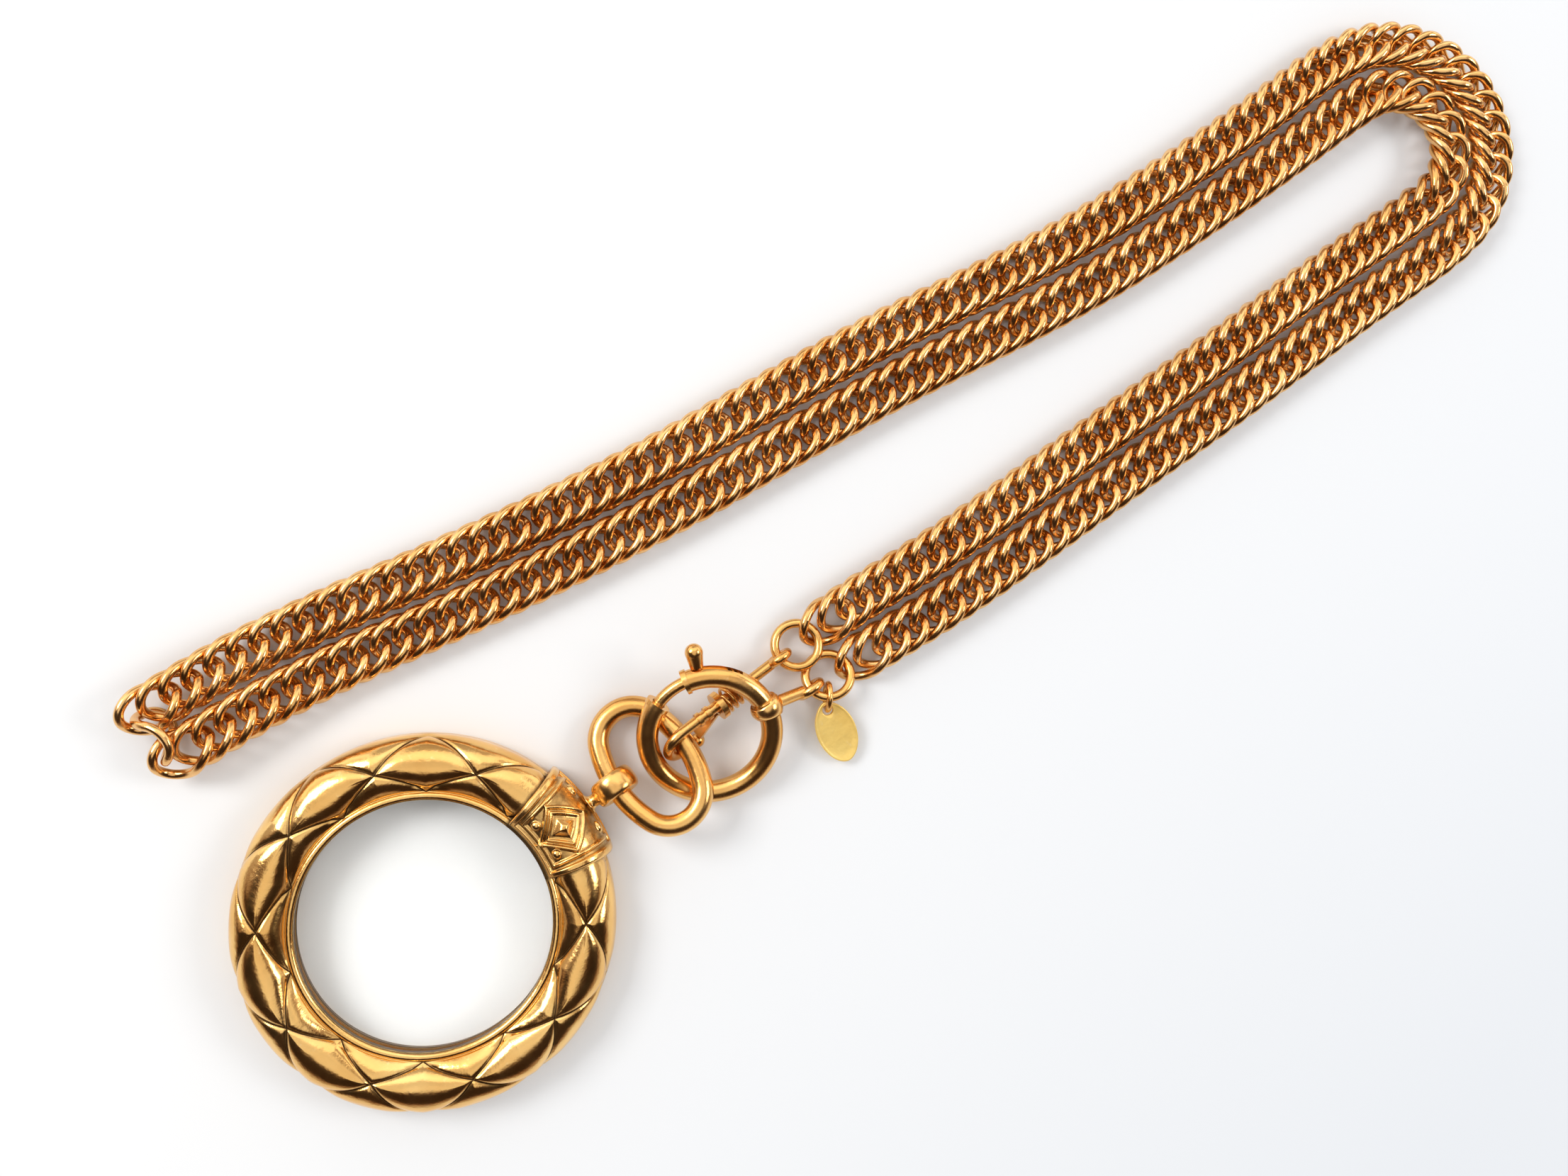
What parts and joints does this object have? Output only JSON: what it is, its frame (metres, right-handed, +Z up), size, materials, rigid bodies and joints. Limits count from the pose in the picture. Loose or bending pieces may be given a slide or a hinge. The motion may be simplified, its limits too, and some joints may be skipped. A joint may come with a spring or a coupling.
{
  "type": "magnifying loupe necklace",
  "caption": "Lens in a domed lattice ring with a collar and bail, worn through an oval link, a spring ring and a spring hook on one long double curb chain folded in two.",
  "frame": {"origin": "on the flat back face that the loupe rests on, under the middle of the lens", "axes": "+Z up through the lens, +X from the lens to the clasp"},
  "size_m": [0.244, 0.0792, 0.0108],
  "materials": {
    "gilt_metal": "polished gold plate, a little worn",
    "gilt_lattice": "antiqued gold plate with dark grooves",
    "chain_gilt": "polished gold plate, paler than the clasp",
    "lens_glass": "clear",
    "spring_wire": "drawn wire"
  },
  "bodies": {
    "chain": {"chain_fold_link": "chain_gilt", "chain_inner_end_links": "chain_gilt", "chain_inner_return_1": "chain_gilt", "chain_inner_return_2": "chain_gilt", "chain_inner_return_3": "chain_gilt", "chain_inner_return_4": "chain_gilt", "chain_inner_return_5": "chain_gilt", "chain_inner_return_6": "chain_gilt", "chain_inner_run_1": "chain_gilt", "chain_inner_run_2": "chain_gilt", "chain_inner_run_3": "chain_gilt", "chain_inner_run_4": "chain_gilt", "chain_inner_turn": "chain_gilt", "chain_outer_end_links": "chain_gilt", "chain_outer_return_1": "chain_gilt", "chain_outer_return_2": "chain_gilt", "chain_outer_return_3": "chain_gilt", "chain_outer_return_4": "chain_gilt", "chain_outer_return_5": "chain_gilt", "chain_outer_return_6": "chain_gilt", "chain_outer_run_1": "chain_gilt", "chain_outer_run_2": "chain_gilt", "chain_outer_run_3": "chain_gilt", "chain_outer_run_4": "chain_gilt", "chain_outer_turn": "chain_gilt"},
    "jump_rings": {"upper_jump_ring": "gilt_metal", "lower_jump_ring": "gilt_metal"},
    "clasp": {"hook_body": "gilt_metal", "hook_ferrule": "gilt_metal", "hook_winding": "gilt_metal", "gate_tail": "spring_wire", "spring_ring_tube": "gilt_metal", "return_spring": "spring_wire", "spring_stop": "gilt_metal", "spring_ring_tab": "gilt_metal"},
    "gate": {"hook_gate": "spring_wire"},
    "link": {"oval_link": "gilt_metal"},
    "loupe": {"front_bezel": "gilt_lattice", "back_bezel": "gilt_metal", "lens": "lens_glass", "lens_retaining_ring": "gilt_metal", "collar_plate": "gilt_metal", "collar_ornament": "gilt_metal", "bail_eye": "gilt_metal"},
    "ring_bolt": {"spring_ring_bolt": "gilt_metal", "trigger_knob": "gilt_metal"},
    "tag_loop": {"tag_ring": "gilt_metal"},
    "tag": {"hang_tag": "gilt_metal"}
  },
  "joints": [
    {"name": "clasp_lift", "type": "hinge", "parent": "chain", "child": "jump_rings", "pos_m": [0.07145, 0, 0.00155], "axis": [0, 1, 0], "range_deg": [0, 15]},
    {"name": "clasp_turn", "type": "hinge", "parent": "jump_rings", "child": "clasp", "pos_m": [0.0648, 0, 0.0032], "axis": [0, 1, 0], "range_deg": [0, 5]},
    {"name": "link_swing", "type": "hinge", "parent": "clasp", "child": "link", "pos_m": [0.04542, -0.0007, 0.00402], "axis": [0, 0.974, -0.2267], "range_deg": [-3, 5]},
    {"name": "loupe_swing", "type": "hinge", "parent": "link", "child": "loupe", "pos_m": [0.03342, 0, 0.00386], "axis": [0, 0.974, -0.2267], "range_deg": [0, 90]},
    {"name": "gate_open", "type": "hinge", "parent": "clasp", "child": "gate", "pos_m": [0.0519, 0.00016, 0.00404], "axis": [0.111, -0.848, 0.5182], "range_deg": [-18, 0], "stiffness_Nm_per_rad": 0.01, "springref_deg": 5.73},
    {"name": "bolt_pull", "type": "hinge", "parent": "clasp", "child": "ring_bolt", "pos_m": [0.04924, -0.0021, 0.0052], "axis": [-0.18, -0.2652, 0.9472], "range_deg": [-32, 0], "stiffness_Nm_per_rad": 0.01, "springref_deg": 11.46, "deforming": ["return_spring"]},
    {"name": "tag_ring_swing", "type": "hinge", "parent": "jump_rings", "child": "tag_loop", "pos_m": [0.06722, -0.00842, 0.00267], "axis": [0.791, -0.6119, 0], "range_deg": [-8, 20]},
    {"name": "tag_swing", "type": "hinge", "parent": "tag_loop", "child": "tag", "pos_m": [0.066, -0.01001, 0.00267], "axis": [0, 0, 1], "range_deg": [-5, 10]}
  ]
}
